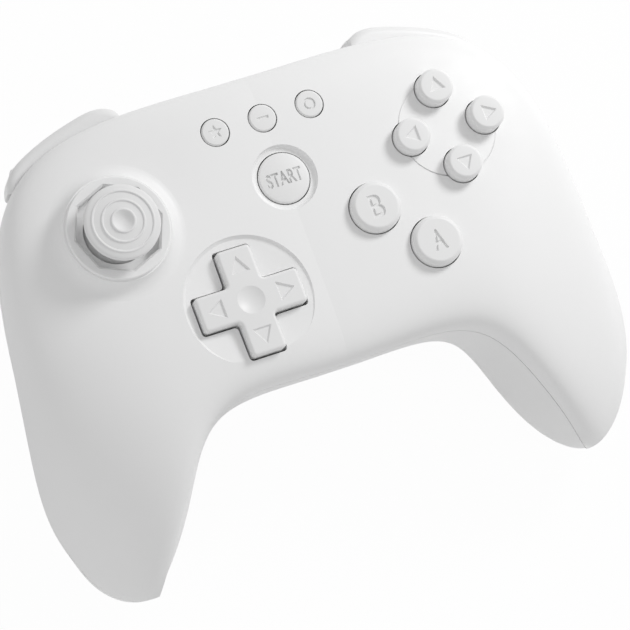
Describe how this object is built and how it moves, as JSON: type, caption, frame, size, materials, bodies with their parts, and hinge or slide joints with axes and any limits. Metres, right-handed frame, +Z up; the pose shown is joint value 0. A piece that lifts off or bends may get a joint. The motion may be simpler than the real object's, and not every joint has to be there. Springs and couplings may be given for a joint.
{
  "type": "gamepad controller",
  "caption": "Wireless gamepad with two swept grips, a thumb stick, a cross pad, round face buttons, shoulder bumpers and triggers.",
  "frame": {"origin": "under the middle of the gamepad's plan, on the surface it lies on", "axes": "+X to the player's right, +Y away from the player towards the shoulder buttons, +Z up out of the face"},
  "size_m": [0.1542, 0.1154, 0.0566],
  "materials": {
    "shell": "fine satin",
    "keys": "satin",
    "stick": "matte",
    "frame": "moulded",
    "black": "moulded",
    "rubber": "soft",
    "board": "solder mask",
    "cell": "film wrap",
    "steel": "bright"
  },
  "bodies": {
    "body": {"front_shell": "shell", "back_shell": "shell", "stick_gate_ring": "shell", "stick_module": "black", "stick_sensors": "board", "dpad_post": "frame", "ab_membrane": "rubber", "c_membrane": "rubber", "centre_membrane": "rubber", "dpad_membrane": "rubber", "main_pcb": "board", "pcb_screws": "steel", "shell_screws": "steel", "battery": "cell", "usb_port": "steel", "pair_switch": "black", "left_motor": "steel", "left_shoulder_bracket": "frame", "left_bumper_switch": "black", "left_trigger_pin": "steel", "left_trigger_spring": "steel", "right_motor": "steel", "right_shoulder_bracket": "frame", "right_bumper_switch": "black", "right_trigger_pin": "steel", "right_trigger_spring": "steel"},
    "stick_yoke": {"stick_yoke": "black"},
    "stick": {"stick_cap": "stick", "stick_shaft": "steel"},
    "dpad_pivot": {"dpad_pivot": "steel"},
    "dpad": {"dpad": "keys"},
    "pair_button": {"pair_button": "keys"},
    "a_button": {"a_button": "keys"},
    "b_button": {"b_button": "keys"},
    "c_up_button": {"c_up_button": "keys"},
    "c_down_button": {"c_down_button": "keys"},
    "c_left_button": {"c_left_button": "keys"},
    "c_right_button": {"c_right_button": "keys"},
    "start_button": {"start_button": "keys"},
    "star_button": {"star_button": "keys"},
    "minus_button": {"minus_button": "keys"},
    "home_button": {"home_button": "keys"},
    "right_bumper": {"right_bumper": "keys"},
    "right_trigger": {"right_trigger": "keys"},
    "right_motor_weight": {"right_motor_weight": "steel"},
    "left_bumper": {"left_bumper": "keys"},
    "left_trigger": {"left_trigger": "keys"},
    "left_motor_weight": {"left_motor_weight": "steel"}
  },
  "joints": [
    {"name": "stick_up_down", "type": "hinge", "parent": "body", "child": "stick_yoke", "pos_m": [-0.04355, 0.02366, 0.0382], "axis": [1, 0, 0], "range_deg": [-13.5, 13.5], "stiffness_Nm_per_rad": 0.05},
    {"name": "stick_left_right", "type": "hinge", "parent": "stick_yoke", "child": "stick", "pos_m": [-0.04355, 0.02366, 0.0382], "axis": [0, 1, 0], "range_deg": [-13.5, 13.5], "stiffness_Nm_per_rad": 0.05},
    {"name": "dpad_up_down", "type": "hinge", "parent": "body", "child": "dpad_pivot", "pos_m": [-0.0188, -0.00169, 0.0395], "axis": [1, 0, 0], "range_deg": [-3.5, 3.5], "stiffness_Nm_per_rad": 0.15},
    {"name": "dpad_left_right", "type": "hinge", "parent": "dpad_pivot", "child": "dpad", "pos_m": [-0.0188, -0.00169, 0.0395], "axis": [0, 1, 0], "range_deg": [-3.5, 3.5], "stiffness_Nm_per_rad": 0.15},
    {"name": "a_press", "type": "slide", "parent": "body", "child": "a_button", "axis": [0, 0, -1], "range_m": [0, 0.0012], "stiffness_N_per_m": 600, "springref_m": -0.0004},
    {"name": "b_press", "type": "slide", "parent": "body", "child": "b_button", "axis": [0, 0, -1], "range_m": [0, 0.0012], "stiffness_N_per_m": 600, "springref_m": -0.0004},
    {"name": "c_up_press", "type": "slide", "parent": "body", "child": "c_up_button", "axis": [0, 0, -1], "range_m": [0, 0.0012], "stiffness_N_per_m": 600, "springref_m": -0.0004},
    {"name": "c_down_press", "type": "slide", "parent": "body", "child": "c_down_button", "axis": [0, 0, -1], "range_m": [0, 0.0012], "stiffness_N_per_m": 600, "springref_m": -0.0004},
    {"name": "c_left_press", "type": "slide", "parent": "body", "child": "c_left_button", "axis": [0, 0, -1], "range_m": [0, 0.0012], "stiffness_N_per_m": 600, "springref_m": -0.0004},
    {"name": "c_right_press", "type": "slide", "parent": "body", "child": "c_right_button", "axis": [0, 0, -1], "range_m": [0, 0.0012], "stiffness_N_per_m": 600, "springref_m": -0.0004},
    {"name": "start_press", "type": "slide", "parent": "body", "child": "start_button", "axis": [0, 0, -1], "range_m": [0, 0.0012], "stiffness_N_per_m": 600, "springref_m": -0.0004},
    {"name": "star_press", "type": "slide", "parent": "body", "child": "star_button", "axis": [0, 0, -1], "range_m": [0, 0.0012], "stiffness_N_per_m": 600, "springref_m": -0.0004},
    {"name": "minus_press", "type": "slide", "parent": "body", "child": "minus_button", "axis": [0, 0, -1], "range_m": [0, 0.0012], "stiffness_N_per_m": 600, "springref_m": -0.0004},
    {"name": "home_press", "type": "slide", "parent": "body", "child": "home_button", "axis": [0, 0, -1], "range_m": [0, 0.0012], "stiffness_N_per_m": 600, "springref_m": -0.0004},
    {"name": "pair_press", "type": "slide", "parent": "body", "child": "pair_button", "axis": [0, -1, 0], "range_m": [0, 0.0007], "stiffness_N_per_m": 400, "springref_m": -0.0003},
    {"name": "right_bumper_press", "type": "hinge", "parent": "body", "child": "right_bumper", "pos_m": [0.03029, 0.04605, 0.0323], "axis": [-0.0697, 0.0226, -0.9973], "range_deg": [0, 2.5], "stiffness_Nm_per_rad": 0.4, "springref_deg": -1.72},
    {"name": "right_trigger_pull", "type": "hinge", "parent": "body", "child": "right_trigger", "pos_m": [0.04119, 0.03967, 0.02277], "axis": [-0.9485, 0.3082, 0.0732], "range_deg": [0, 12], "stiffness_Nm_per_rad": 0.1, "springref_deg": -8.59},
    {"name": "right_motor_spin", "type": "hinge", "parent": "body", "child": "right_motor_weight", "pos_m": [0.06, -0.01184, 0.0212], "axis": [0, 1, 0], "continuous": true},
    {"name": "left_bumper_press", "type": "hinge", "parent": "body", "child": "left_bumper", "pos_m": [-0.03029, 0.04605, 0.0323], "axis": [-0.0697, -0.0226, 0.9973], "range_deg": [0, 2.5], "stiffness_Nm_per_rad": 0.4, "springref_deg": -1.72},
    {"name": "left_trigger_pull", "type": "hinge", "parent": "body", "child": "left_trigger", "pos_m": [-0.04119, 0.03967, 0.02277], "axis": [-0.9485, -0.3082, -0.0732], "range_deg": [0, 12], "stiffness_Nm_per_rad": 0.1, "springref_deg": -8.59},
    {"name": "left_motor_spin", "type": "hinge", "parent": "body", "child": "left_motor_weight", "pos_m": [-0.06, -0.01184, 0.0212], "axis": [0, 1, 0], "continuous": true}
  ]
}
